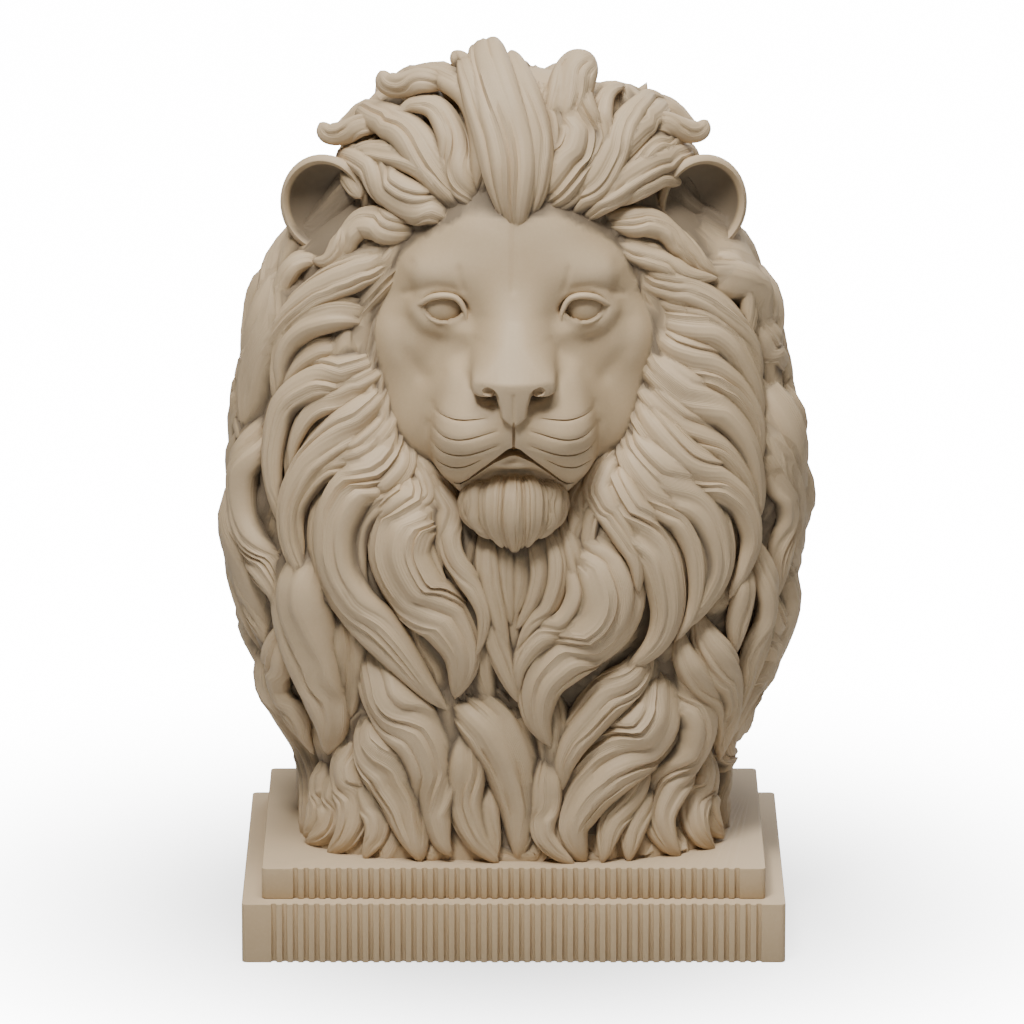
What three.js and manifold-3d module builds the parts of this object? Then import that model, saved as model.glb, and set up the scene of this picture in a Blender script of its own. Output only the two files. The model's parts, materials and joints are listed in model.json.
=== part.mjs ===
// Lion head bust with a full mane, standing on a two-step reeded plinth, in millimetres.
// The origin is the centre of the lower slab's underside, +Z is up and the lion looks along -Y.
// The bust is one casting. Each slab of the plinth is a casting of its own, and all three rest
// on each other by their own weight.
import * as THREE from "three";
import { mergeVertices } from "three/addons/utils/BufferGeometryUtils.js";
import Module from "manifold-3d";

const wasm = await Module();
wasm.setup();

// ---- Driving dimensions ----

const LOWER_SLAB = { width: 220, depth: 168, height: 24.5, ribs: 46 };
const LEDGE = 8;
const UPPER_SLAB = {
  width: LOWER_SLAB.width - 2 * LEDGE,
  depth: LOWER_SLAB.depth - 2 * LEDGE,
  height: 12.75,
  ribs: 42,
};
const REED_PITCH = 4.36;
const REED_DEPTH = 0.8;
const SLAB_CORNER = 2;

const BUST_FOOT = LOWER_SLAB.height + UPPER_SLAB.height;
const BUST_TOP = 371;

// The mane's outline: at each height, the half width, and how far it reaches forward and back.
const MANE_OUTLINE = [
  { height: BUST_FOOT, side: 85, front: 65, back: 60 },
  { height: 66, side: 84, front: 64, back: 60 },
  { height: 90, side: 91, front: 65, back: 60 },
  { height: 120, side: 100, front: 67, back: 62 },
  { height: 150, side: 105, front: 67, back: 65 },
  { height: 180, side: 106, front: 64, back: 66 },
  { height: 210, side: 104, front: 58, back: 65 },
  { height: 240, side: 98, front: 52, back: 62 },
  { height: 270, side: 91, front: 45, back: 57 },
  { height: 300, side: 75, front: 40, back: 50 },
  { height: 325, side: 68, front: 34, back: 41 },
  { height: 345, side: 50, front: 26, back: 30 },
  { height: 358, side: 33, front: 18, back: 19 },
  { height: 366, side: 20, front: 11, back: 10 },
  { height: BUST_TOP, side: 8, front: 5, back: 4 },
];
const MANE_ROUNDNESS = 2.2;
const FOOT_ROUNDNESS = 3;

// Locks of hair that come in pairs, given on the lion's left: where each starts and where its
// tip ends, across and up, how far it bellies sideways, how far it sways the other way, its width.
const PAIRED_LOCKS = [
  { root: [8, 300], tip: [31, 362], belly: -3, sway: -2, width: 19 },
  { root: [13, 304], tip: [49, 351], belly: 12, sway: 0, width: 16 },
  { root: [23, 303], tip: [73, 333], belly: 13, sway: 2, width: 16 },
  { root: [28, 300], tip: [77, 314], belly: 11, sway: 2, width: 15 },
  { root: [33, 297], tip: [86, 277], belly: 8, sway: 3, width: 15 },
  { root: [38, 291], tip: [104, 232], belly: 11, sway: 2, width: 15 },
  { root: [54, 270], tip: [102, 215], belly: 14, sway: 0, width: 16 },
  { root: [56, 256], tip: [102, 193], belly: 12, sway: 0, width: 17 },
  { root: [55, 246], tip: [99, 166], belly: 12, sway: 2, width: 17 },
  { root: [51, 232], tip: [86, 146], belly: 16, sway: 2, width: 18 },
  { root: [46, 218], tip: [66, 132], belly: 19, sway: 2, width: 21 },
  { root: [38, 205], tip: [42, 116], belly: 17, sway: -7, width: 22 },
  { root: [27, 190], tip: [16, 90], belly: 13, sway: 8, width: 26 },
  { root: [13, 172], tip: [1, 122], belly: 6, sway: 2, width: 15 },
  { root: [88, 287], tip: [103, 243], belly: 5, sway: 0, width: 16 },
  { root: [96, 264], tip: [112, 196], belly: 5, sway: 0, width: 18 },
  { root: [102, 222], tip: [104, 134], belly: 9, sway: 0, width: 22 },
  { root: [103, 168], tip: [88, 74], belly: 8, sway: 0, width: 22 },
  { root: [90, 160], tip: [80, 72], belly: 5, sway: -3, width: 24 },
  { root: [66, 134], tip: [64, 44], belly: 6, sway: 7, width: 24 },
  { root: [62, 124], tip: [27, 41], belly: -4, sway: 9, width: 28 },
  { root: [86, 84], tip: [87, 41], belly: 0, sway: 4, width: 18 },
  { root: [58, 82], tip: [50, 41], belly: 0, sway: 5, width: 20 },
  { root: [18, 118], tip: [8, 41], belly: -5, sway: 6, width: 24 },
];
const CROWN_TUFT = { root: [1, 296], tip: [-5, 369], belly: 4, sway: 0, width: 24 };

// Plainer locks hang in rows round the sides and back, from a height down a length.
const BACK_ROWS = [
  { root: 352, length: 62, locks: 4 },
  { root: 316, length: 78, locks: 6 },
  { root: 272, length: 88, locks: 7 },
  { root: 220, length: 92, locks: 7 },
  { root: 166, length: 90, locks: 7 },
  { root: 110, length: 72, locks: 7 },
];
const BACK_FIRST_TURN = THREE.MathUtils.degToRad(100);
const BACK_LOCK_WIDTH = 44;
const BACK_LOCK_SWAY = 7;

// How far a lock stands out from the mane for its width, and how square its crown is.
const LOCK_STAND = 0.4;
const LOCK_CROWN = 1.2;
const LOCK_ROOT_FADE = 0.15;
const LOCK_STEPS = 12;

// The casting's skin is a drum of this many staves and hoops, with the staves set closer
// together at the front, where the face and the carved locks are.
const STAVES = 80;
const HOOPS = 36;
const FRONT_CLOSENESS = 0.62;

// The face is built up from rounded masses, each tipped forward by its pitch in degrees. Those
// off the middle line come in pairs.
const FACE_MIDDLE = [
  { centre: [0, -14, 262], radii: [56, 44, 48], pitch: 0 },
  { centre: [0, -46, 280], radii: [22, 14, 26], pitch: 12 },
  { centre: [0, -60, 256], radii: [15, 14, 34], pitch: 32 },
  { centre: [0, -80, 237], radii: [17, 11, 6], pitch: 10 },
  { centre: [0, -83, 230], radii: [9, 9, 9], pitch: 0 },
  { centre: [0, -48, 208], radii: [29, 28, 19], pitch: 0 },
  { centre: [0, -58, 187], radii: [23, 17, 15], pitch: 0 },
  { centre: [-1, -68, 177], radii: [9, 6, 10], pitch: 0 },
];
const FACE_PAIRS = [
  { centre: [27, -42, 275], radii: [19, 11, 6], pitch: 0 },
  { centre: [28, -46, 264], radii: [9, 8, 6.5], pitch: 0 },
  { centre: [34, -32, 240], radii: [20, 20, 26], pitch: 20 },
  { centre: [15, -64, 216], radii: [17, 23, 15], pitch: 0 },
];
const FACE_FACETS = { around: 12, down: 8 };

// The mane lies back behind the face, inside an oval as wide and tall as the face.
const FACE_OVAL = { width: 112, height: 122, centre: 241, hollow: 16 };

const EAR = { across: 77, back: 0, height: 299, radius: 20, hollow: 14.5 };

// ---- Solids and surfaces ----

const SAND_STONE = 0xb8a88f;

function stoneMaterial() {
  return new THREE.MeshStandardMaterial({ color: SAND_STONE, roughness: 0.72, metalness: 0 });
}

// A closed solid from a geometry, with shared corners merged and slivers without area left out.
function toSolid(geometry) {
  geometry.deleteAttribute("normal");
  geometry.deleteAttribute("uv");
  const merged = mergeVertices(geometry, 1e-4);
  const corners = Array.from(merged.index.array);
  const kept = [];
  for (let i = 0; i < corners.length; i += 3) {
    const [a, b, c] = corners.slice(i, i + 3);
    if (a !== b && b !== c && c !== a) {
      kept.push(a, b, c);
    }
  }
  const mesh = new wasm.Mesh({
    numProp: 3,
    vertProperties: new Float32Array(merged.attributes.position.array),
    triVerts: new Uint32Array(kept),
  });
  return new wasm.Manifold(mesh);
}

// The triangles of the outer skin. Small pockets shut in between crossing locks are left out,
// so the casting is solid there.
function outerSkin(triVerts, cornerCount) {
  const group = Array.from({ length: cornerCount }, (_, corner) => corner);
  const find = (corner) => {
    while (group[corner] !== corner) {
      group[corner] = group[group[corner]];
      corner = group[corner];
    }
    return corner;
  };
  for (let i = 0; i < triVerts.length; i += 3) {
    group[find(triVerts[i + 1])] = find(triVerts[i]);
    group[find(triVerts[i + 2])] = find(triVerts[i]);
  }
  const skins = new Map();
  for (let i = 0; i < triVerts.length; i += 3) {
    const skin = find(triVerts[i]);
    skins.set(skin, [...(skins.get(skin) ?? []), ...triVerts.slice(i, i + 3)]);
  }
  return [...skins.values()].reduce((largest, skin) => skin.length > largest.length ? skin : largest);
}

function toMesh(solid, name) {
  const { vertProperties, triVerts } = solid.getMesh();
  const geometry = new THREE.BufferGeometry();
  geometry.setAttribute("position", new THREE.BufferAttribute(vertProperties, 3));
  geometry.setIndex(outerSkin(triVerts, vertProperties.length / 3));
  geometry.computeVertexNormals();
  const mesh = new THREE.Mesh(geometry, stoneMaterial());
  mesh.name = name;
  return mesh;
}

function moveVertices(geometry, place) {
  const position = geometry.attributes.position;
  const point = new THREE.Vector3();
  for (let i = 0; i < position.count; i += 1) {
    point.fromBufferAttribute(position, i);
    place(point);
    position.setXYZ(i, point.x, point.y, point.z);
  }
  return geometry;
}

// One measure of the mane's outline at a height, on straight lines between the listed heights.
function outlineAt(height, measure) {
  const rows = MANE_OUTLINE;
  const clamped = THREE.MathUtils.clamp(height, rows[0].height, rows[rows.length - 1].height);
  const next = Math.max(1, rows.findIndex((row) => row.height >= clamped));
  const low = rows[next - 1];
  const high = rows[next];
  const share = (clamped - low.height) / (high.height - low.height);
  return THREE.MathUtils.lerp(low[measure], high[measure], share);
}

function roundnessAt(height) {
  return THREE.MathUtils.mapLinear(
    THREE.MathUtils.clamp(height, BUST_FOOT, 100), BUST_FOOT, 100, FOOT_ROUNDNESS, MANE_ROUNDNESS);
}

// The mane's surface at a turn round the bust, 0 at the front and positive to the lion's left.
function maneSurface(turn, height) {
  const power = 2 / roundnessAt(height);
  const across = Math.sin(turn);
  const ahead = Math.cos(turn);
  const reach = outlineAt(height, ahead > 0 ? "front" : "back");
  return new THREE.Vector3(
    outlineAt(height, "side") * Math.sign(across) * Math.abs(across) ** power,
    -reach * Math.sign(ahead) * Math.abs(ahead) ** power,
    height);
}

function turnAt(across, height) {
  const share = Math.min(Math.abs(across) / outlineAt(height, "side"), 1);
  return Math.sign(across) * Math.asin(share ** (roundnessAt(height) / 2));
}

// ---- Plinth ----

// One slab: its front edge is cut with upright reeds between two plain corner bands.
function reededSlab({ width, depth, height, ribs }, bottom, name) {
  const outline = new THREE.Shape();
  const front = -depth / 2;
  const side = width / 2;
  outline.moveTo(-side + SLAB_CORNER, front);
  for (let rib = 0; rib < ribs; rib += 1) {
    const start = (rib - ribs / 2 + 0.25) * REED_PITCH;
    outline.lineTo(start, front);
    outline.lineTo(start + 0.15 * REED_PITCH, front + REED_DEPTH);
    outline.lineTo(start + 0.35 * REED_PITCH, front + REED_DEPTH);
    outline.lineTo(start + 0.5 * REED_PITCH, front);
  }
  outline.lineTo(side - SLAB_CORNER, front);
  outline.absarc(side - SLAB_CORNER, front + SLAB_CORNER, SLAB_CORNER, -Math.PI / 2, 0);
  outline.absarc(side - SLAB_CORNER, -front - SLAB_CORNER, SLAB_CORNER, 0, Math.PI / 2);
  outline.absarc(-side + SLAB_CORNER, -front - SLAB_CORNER, SLAB_CORNER, Math.PI / 2, Math.PI);
  outline.absarc(-side + SLAB_CORNER, front + SLAB_CORNER, SLAB_CORNER, Math.PI, 1.5 * Math.PI);
  const slab = new THREE.ExtrudeGeometry(outline, {
    depth: height,
    bevelEnabled: false,
    curveSegments: 3,
  });
  slab.translate(0, 0, bottom);
  return toMesh(toSolid(slab), name);
}

// ---- Mane ----

// A lock's midline, as points on the mane from its root to its tip.
function midline(route) {
  return Array.from({ length: LOCK_STEPS + 1 }, (_, step) => route(step / LOCK_STEPS));
}

function frontLock({ root, tip, belly, sway, width }, mirror) {
  const chord = [tip[0] - root[0], tip[1] - root[1]];
  const length = Math.hypot(chord[0], chord[1]);
  const points = midline((along) => {
    const aside = belly * Math.sin(Math.PI * along) + sway * Math.sin(2 * Math.PI * along);
    const across = root[0] + chord[0] * along - chord[1] / length * aside;
    const height = root[1] + chord[1] * along + chord[0] / length * aside;
    return maneSurface(mirror * turnAt(across, height), height);
  });
  return { points, width };
}

function hangingLock(turn, top, length, lean) {
  const points = midline((along) => {
    const height = Math.max(top - length * along, BUST_FOOT);
    const sway = lean * BACK_LOCK_SWAY * Math.sin(2 * Math.PI * along);
    return maneSurface(turn + sway / outlineAt(height, "side"), height);
  });
  return { points, width: BACK_LOCK_WIDTH };
}

function backLocks() {
  return BACK_ROWS.flatMap(({ root, length, locks }, row) => (
    Array.from({ length: locks }, (_, i) => {
      const share = (i + 0.5 * (row % 2)) / (locks - 0.5);
      const last = 2 * Math.PI - BACK_FIRST_TURN;
      const turn = THREE.MathUtils.lerp(BACK_FIRST_TURN, last, share);
      return hangingLock(turn, root, length, i % 2 ? 1 : -1);
    })
  ));
}

const segment = new THREE.Line3();
const nearest = new THREE.Vector3();

// How far a lock stands out at a point of the mane: full in its middle, nothing past its edges.
function lockStand({ points, width }, place) {
  let stand = 0;
  for (let i = 0; i < LOCK_STEPS; i += 1) {
    segment.set(points[i], points[i + 1]);
    const share = segment.closestPointToPointParameter(place, true);
    segment.at(share, nearest);
    const along = (i + share) / LOCK_STEPS;
    const half = 0.5 * width * (0.7 + 0.45 * Math.sin(Math.PI * along)) * Math.sqrt(1 - 0.92 * along);
    const aside = nearest.distanceTo(place) / half;
    if (aside < 1) {
      const risen = THREE.MathUtils.smoothstep(along, 0, LOCK_ROOT_FADE);
      const crown = risen * (1 - aside * aside) ** LOCK_CROWN;
      stand = Math.max(stand, LOCK_STAND * 2 * half * crown);
    }
  }
  return stand;
}

// ---- Head ----

function ellipsoid([across, ahead, height], radii, pitch, mirror) {
  const ball = new THREE.SphereGeometry(1, FACE_FACETS.around, FACE_FACETS.down);
  ball.rotateX(Math.PI / 2);
  ball.scale(...radii);
  ball.rotateX(-THREE.MathUtils.degToRad(pitch));
  ball.translate(mirror * across, ahead, height);
  return toSolid(ball);
}

function faceMasses() {
  const place = ({ centre, radii, pitch }, mirror) => ellipsoid(centre, radii, pitch, mirror);
  return [
    ...FACE_MIDDLE.map((mass) => place(mass, 1)),
    ...FACE_PAIRS.flatMap((mass) => [place(mass, 1), place(mass, -1)]),
  ];
}

function ear(mirror) {
  const { across, back, height, radius, hollow } = EAR;
  const shell = ellipsoid([across, back + 4, height], [radius, 11, radius + 1], 0, mirror);
  const cup = ellipsoid([across - 1, back - 5, height], [hollow, 10, hollow + 1.5], 0, mirror);
  return shell.subtract(cup);
}

// How far the mane lies back at a point behind the face.
function faceHollow({ x, z }) {
  const { width, height, centre, hollow } = FACE_OVAL;
  const inside = 1 - (2 * x / width) ** 2 - (2 * (z - centre) / height) ** 2;
  return hollow * THREE.MathUtils.smoothstep(inside, 0, 0.4);
}

// ---- Bust ----

// The skin of the casting: a lathed drum drawn out to the mane, its locks and the face.
function carvedBody(locks) {
  const profile = [new THREE.Vector2(0, BUST_FOOT)];
  for (let hoop = 0; hoop <= HOOPS; hoop += 1) {
    profile.push(new THREE.Vector2(1, THREE.MathUtils.lerp(BUST_FOOT, BUST_TOP, hoop / HOOPS)));
  }
  profile.push(new THREE.Vector2(0, BUST_TOP));
  const drum = new THREE.LatheGeometry(profile, STAVES);
  drum.rotateX(Math.PI / 2);
  return toSolid(moveVertices(drum, (point) => {
    if (Math.hypot(point.x, point.y) < 0.5) {
      point.set(0, 0, point.z);
      return;
    }
    const stave = Math.atan2(point.x, -point.y) / Math.PI;
    const turn = Math.PI * stave * (FRONT_CLOSENESS + (1 - FRONT_CLOSENESS) * stave * stave);
    const surface = maneSurface(turn, point.z);
    const stand = Math.max(0, ...locks.map((lock) => lockStand(lock, surface)));
    const outward = new THREE.Vector3(surface.x, 1.6 * surface.y, 0).normalize();
    point.copy(surface).addScaledVector(outward, stand);
    point.y += surface.y < 0 ? faceHollow(point) : 0;
  }));
}

function bust() {
  const locks = [frontLock(CROWN_TUFT, 1), ...backLocks()];
  for (const mirror of [1, -1]) {
    locks.push(...PAIRED_LOCKS.map((lock) => frontLock(lock, mirror)));
  }
  const whole = [...faceMasses(), ear(1), ear(-1)].reduce(
    (body, piece) => body.add(piece), carvedBody(locks));
  return toMesh(whole, "lion_bust");
}

const sculpture = new THREE.Group();
sculpture.add(reededSlab(LOWER_SLAB, 0, "lower_plinth"));
sculpture.add(reededSlab(UPPER_SLAB, LOWER_SLAB.height, "upper_plinth"));
sculpture.add(bust());

export default sculpture;
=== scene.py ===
import json
import math
from itertools import pairwise

import bmesh
import bpy
import numpy as np
from mathutils import Matrix, Vector

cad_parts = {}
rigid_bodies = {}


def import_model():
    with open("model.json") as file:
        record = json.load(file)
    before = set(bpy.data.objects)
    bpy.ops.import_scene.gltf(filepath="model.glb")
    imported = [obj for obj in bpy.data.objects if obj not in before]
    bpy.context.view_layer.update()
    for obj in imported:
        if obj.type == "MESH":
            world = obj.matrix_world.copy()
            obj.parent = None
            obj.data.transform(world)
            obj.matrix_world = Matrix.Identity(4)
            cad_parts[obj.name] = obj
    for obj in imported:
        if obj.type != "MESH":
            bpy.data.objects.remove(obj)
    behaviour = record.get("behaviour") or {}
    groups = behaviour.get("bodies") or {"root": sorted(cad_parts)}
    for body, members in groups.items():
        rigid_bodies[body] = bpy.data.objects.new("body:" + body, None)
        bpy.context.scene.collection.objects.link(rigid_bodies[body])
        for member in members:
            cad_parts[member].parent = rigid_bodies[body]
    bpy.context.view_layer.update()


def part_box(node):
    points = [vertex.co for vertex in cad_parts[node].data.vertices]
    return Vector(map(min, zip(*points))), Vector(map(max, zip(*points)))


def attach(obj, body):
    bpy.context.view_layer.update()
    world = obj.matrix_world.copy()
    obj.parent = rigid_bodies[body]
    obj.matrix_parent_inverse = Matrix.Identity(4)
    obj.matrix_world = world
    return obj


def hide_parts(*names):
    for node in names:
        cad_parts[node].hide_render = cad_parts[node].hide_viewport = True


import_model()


# ---- The viewpoint ----
# A long lens a little above the lion's brow looks down on the face and on the plinth's top,
# square to the front. Nothing here belongs to the sculpture.

VIEW_DISTANCE = 3.79
VIEW_PITCH = math.radians(14)
VIEW_AIM = Vector((-0.00067, 0, 0.1671))

camera = bpy.data.objects.new("camera", bpy.data.cameras.new("camera"))
camera.data.lens = 325.6
camera.data.sensor_width = 36
camera.data.clip_end = 50
camera.location = VIEW_AIM + VIEW_DISTANCE * Vector((0, -math.cos(VIEW_PITCH), math.sin(VIEW_PITCH)))
camera.rotation_euler = (math.pi / 2 - VIEW_PITCH, 0, 0)
bpy.context.scene.collection.objects.link(camera)
bpy.context.scene.camera = camera


# ---- Cast stone ----
# Every piece is cast in one fine sand-coloured stone, rubbed smooth by hand and left without a
# glaze. Its colour also carries painted light: raised ridges and the slab tops are painted paler
# as a painted highlight, and the hollows of the carving are painted browner as painted shade.


class Signal:
    """A shader socket that can be written in sums, so a finish reads as arithmetic."""

    def __init__(self, tree, socket):
        self.tree = tree
        self.socket = socket

    def math(self, operation, *values):
        return node(self.tree, "ShaderNodeMath", {"operation": operation}, *values)

    def __add__(self, other):
        return self.math("ADD", self, other)

    def __mul__(self, other):
        return self.math("MULTIPLY", self, other)

    __radd__ = __add__
    __rmul__ = __mul__

    def between(self, low, high):
        return node(self.tree, "ShaderNodeMapRange", {"interpolation_type": "SMOOTHSTEP"}, self, low, high)

    def mix(self, first, second):
        return node(self.tree, "ShaderNodeMix", {"data_type": "RGBA"},
                    Factor=self, A=first, B=second, output="Result")


def node(tree, kind, settings, *values, output=None, **named):
    """A shader node of a type, with its settings made first and its sockets filled after."""
    made = tree.nodes.new(kind)
    for name, value in settings.items():
        setattr(made, name, value)
    sockets = [(made.inputs[place], value) for place, value in enumerate(values)]
    for name, value in named.items():
        wanted = name.replace("_", " ")
        fitting = [socket for socket in made.inputs if socket.name == wanted and socket.enabled]
        sockets.append((fitting[0], value))
    for socket, value in sockets:
        if isinstance(value, Signal):
            tree.links.new(value.socket, socket)
        else:
            socket.default_value = value
    outputs = [socket for socket in made.outputs if socket.enabled and output in (None, socket.name)]
    return Signal(tree, outputs[0])


STONE_BODY = (0.43, 0.315, 0.183, 1)
STONE_PALE = (0.52, 0.395, 0.25, 1)
STONE_SHADE_BROWN = (0.155, 0.117, 0.076, 1)


def cast_stone(name):
    material = bpy.data.materials.new(name)
    material.use_nodes = True
    tree = material.node_tree
    shader = tree.nodes["Principled BSDF"]
    place = node(tree, "ShaderNodeTexCoord", {}, output="Object")
    cloud = node(tree, "ShaderNodeTexNoise", {}, Vector=place, Scale=26.0, Detail=4.0, Roughness=0.6)
    grain = node(tree, "ShaderNodeTexNoise", {}, Vector=place, Scale=900.0, Detail=2.0)
    speck = node(tree, "ShaderNodeTexNoise", {}, Vector=place, Scale=2600.0, Detail=1.0)
    # Painted light: the first attribute darkens the hollows towards brown as painted shade, and the second
    # paints raised ridges and slab tops paler as a painted highlight.
    recess = node(tree, "ShaderNodeAttribute", {"attribute_name": "recess"}, output="Fac")
    edge = node(tree, "ShaderNodeAttribute", {"attribute_name": "edge"}, output="Fac")
    paler = cloud.between(0.3, 0.75) * 0.3 + grain.between(0.35, 0.8) * 0.15 + edge * 0.5
    colour = (recess * 0.92).mix(paler.mix(STONE_BODY, STONE_PALE), STONE_SHADE_BROWN)
    tree.links.new(colour.socket, shader.inputs["Base Color"])
    rough = 0.56 + cloud * 0.08 + recess * 0.12
    tree.links.new(rough.socket, shader.inputs["Roughness"])
    strand = node(tree, "ShaderNodeAttribute", {"attribute_name": "strand"}, output="Fac")
    comb = strand.math("SINE", strand * 6.3 + cloud * 6.0) * strand.between(0.1, 0.6)
    bump = node(tree, "ShaderNodeBump", {}, Strength=0.5, Distance=0.0001,
                Height=grain * 0.3 + speck * 0.2 + comb * 0.7)
    tree.links.new(bump.socket, shader.inputs["Normal"])
    shader.inputs["Specular IOR Level"].default_value = 0.35
    return material


stone = cast_stone("sand_stone")


# ---- Plinth slabs ----
# Two rectangular slabs, each cast in an open mould. Upright reeds run across the front face
# between two plain corner bands. The lower slab is the larger, and they are bedded dry.

REED_PITCH = 0.00436
REED_DEPTH = 0.0019
REED_STEPS = 12
SLAB_CORNER = 0.0022
CORNER_STEPS = 6
SLAB_TOP_EASE = 0.0004
# How much paler the slab tops are painted, as painted light on the top.
TOP_PAINTED_PALE = 1.7


def slab(name, reeds, round_foot):
    low, high = (np.array(corner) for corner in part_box(name))
    half_reeds = reeds * REED_PITCH / 2
    outline = []
    for step in range(reeds * REED_STEPS + 1):
        phase = step / REED_STEPS
        hollow = max(0.0, -math.sin(2 * math.pi * phase)) ** 0.35
        across = phase * REED_PITCH - half_reeds
        outline.append(Vector((across, low[1] + REED_DEPTH * hollow, low[2])))
    for right, back, start in ((1, -1, -90), (1, 1, 0), (-1, 1, 90), (-1, -1, 180)):
        centre = Vector((high[0] - SLAB_CORNER if right > 0 else low[0] + SLAB_CORNER,
                         high[1] - SLAB_CORNER if back > 0 else low[1] + SLAB_CORNER, low[2]))
        turns = [math.radians(start + 90 * step / CORNER_STEPS) for step in range(CORNER_STEPS + 1)]
        outline += [centre + SLAB_CORNER * Vector((math.cos(turn), math.sin(turn), 0)) for turn in turns]
    bm = bmesh.new()
    foot = bm.faces.new([bm.verts.new(point) for point in outline])
    lifted = bmesh.ops.extrude_face_region(bm, geom=[foot])["geom"]
    risen = [part for part in lifted if isinstance(part, bmesh.types.BMVert)]
    bmesh.ops.translate(bm, verts=risen, vec=(0, 0, high[2] - low[2]))
    bmesh.ops.recalc_face_normals(bm, faces=bm.faces)
    for level, size, segments in ((low[2], round_foot, 4), (high[2], SLAB_TOP_EASE, 2)):
        rim = [edge for edge in bm.edges
               if all(abs(v.co.z - level) < 1e-6 for v in edge.verts)]
        bmesh.ops.bevel(bm, geom=rim, offset=size, segments=segments, profile=0.5,
                        affect="EDGES", material=-1, clamp_overlap=True)
    mesh = bpy.data.meshes.new(name + "_cast")
    bm.to_mesh(mesh)
    bm.free()
    # The top face of each slab is painted paler, as painted light falling on the top.
    painted_top_light = mesh.attributes.new("edge", "FLOAT", "POINT")
    painted_top_light.data.foreach_set("value", [TOP_PAINTED_PALE * (v.co.z > high[2] - 1e-5) for v in mesh.vertices])
    piece = bpy.data.objects.new(name + "_cast", mesh)
    bpy.context.scene.collection.objects.link(piece)
    mesh.shade_smooth()
    mesh.set_sharp_from_angle(angle=math.radians(35))
    mesh.materials.append(stone)
    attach(piece, "root")
    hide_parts(name)


slab("lower_plinth", reeds=46, round_foot=0.0028)
slab("upper_plinth", reeds=42, round_foot=0.0022)


# ---- Mane: its outer shape ----
# The mane is an egg-shaped mass, flat in front and fuller behind, that narrows to a foot on
# the plinth. All its measures here are in millimetres until the mesh is made.

MM = 0.001
FOOT = 37.25
TOP = 366.0
#               height: side, front, back
MANE_SHAPE = {
    37: (95, 71, 66), 50: (89, 69, 63), 66: (86, 68, 63), 80: (94, 70, 66),
    95: (103, 71, 68), 120: (112, 73, 71), 150: (117, 74, 73), 170: (118, 72, 74),
    200: (117, 67, 73), 225: (112, 62, 71), 250: (107, 57, 68), 270: (101, 52, 64),
    283: (95, 50, 61), 291: (83, 48, 59), 299: (74, 45, 57), 312: (70, 42, 53),
    325: (67, 37, 48), 337: (58, 31, 41), 347: (47, 25, 33), 356: (34, 17, 24),
    362: (21, 10, 14), 366: (6, 5, 6),
}
MANE_HEIGHTS = np.array(list(MANE_SHAPE))
MANE_SIDE, MANE_FRONT, MANE_BACK = np.array(list(MANE_SHAPE.values())).T


def shape_at(height, measure):
    """A measure of the mane at each height, eased over the listed heights."""
    samples = [np.interp(height + shift, MANE_HEIGHTS, measure) for shift in (-9, -4.5, 0, 4.5, 9)]
    return np.mean(samples, axis=0)


def squareness(height):
    return np.interp(height, [FOOT, 100], [3.0, 2.2])


def on_mane(turn, height):
    """Points of the mane's outer shape at a turn round it, 0 in front, and a height."""
    power = 2 / squareness(height)
    across, ahead = np.sin(turn), np.cos(turn)
    reach = np.where(ahead > 0, shape_at(height, MANE_FRONT), shape_at(height, MANE_BACK))
    return np.stack([shape_at(height, MANE_SIDE) * np.sign(across) * np.abs(across) ** power,
                     -reach * np.sign(ahead) * np.abs(ahead) ** power, height], -1)


def turn_at(across, height):
    share = np.clip(np.abs(across) / shape_at(height, MANE_SIDE), 0, 1)
    return np.sign(across) * np.arcsin(share ** (squareness(height) / 2))


def outward(turn, height):
    """The mane's outward direction, from two small steps along its outer shape."""
    step = 1e-2
    round_it = on_mane(turn + step, height) - on_mane(turn - step, height)
    up_it = on_mane(turn, height + 1) - on_mane(turn, height - 1)
    normal = np.cross(round_it, up_it)
    return normal / np.linalg.norm(normal, axis=-1, keepdims=True)


# ---- Mane: one lock of hair ----
# A lock is a flattened, tapering roll of clay laid along the mane, scored lengthwise into
# strands with a wire tool. Each is pressed on over the last one, tip outermost.

# Measures of a lock, each as a share of its width: how deep it is bedded, how much deeper its
# root goes, how thick it is, and how deep it is scored.
BEDDED = 0.33
ROOT_SINK = 0.4
THICK = 0.37
SCORED = 0.115
ROOT_LENGTH = 0.3
STRAND_WIDTH = 5.5
ROUTE_STEPS = 40


def rolled_blank(around, along):
    """A closed roll of clay, with where each of its points lies along and around it."""
    bm = bmesh.new()
    bmesh.ops.create_cone(bm, cap_ends=True, cap_tris=True, segments=around,
                          radius1=1, radius2=1, depth=1)
    lengthwise = [e for e in bm.edges if abs(e.verts[0].co.z - e.verts[1].co.z) > 0.5]
    bmesh.ops.subdivide_edges(bm, edges=lengthwise, cuts=along - 1)
    bmesh.ops.reverse_faces(bm, faces=bm.faces)
    mesh = bpy.data.meshes.new("blank")
    bm.to_mesh(mesh)
    bm.free()
    place = np.empty(len(mesh.vertices) * 3)
    mesh.vertices.foreach_get("co", place)
    place = place.reshape(-1, 3)
    return mesh, place[:, 2] + 0.5, np.hypot(place[:, 0], place[:, 1]), np.arctan2(place[:, 1], place[:, 0])


def lock_blank(around, along):
    """A roll with three quarters of its section's points on the outer face, where the strands are."""
    mesh, place, ring, turn = rolled_blank(around, along)
    share = (turn / (2 * math.pi)) % 1.0
    outer = 0.75
    angle = math.pi * np.where(share < outer, share / outer, 1 + (share - outer) / (1 - outer))
    return mesh, place, ring, angle


FINE_LOCK = lock_blank(30, 39)
BACK_LOCK = lock_blank(28, 20)
PLAIN_LOCK = lock_blank(20, 16)

chance = np.random.default_rng(7)
lock_tray = bpy.data.collections.new("locks")


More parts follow.
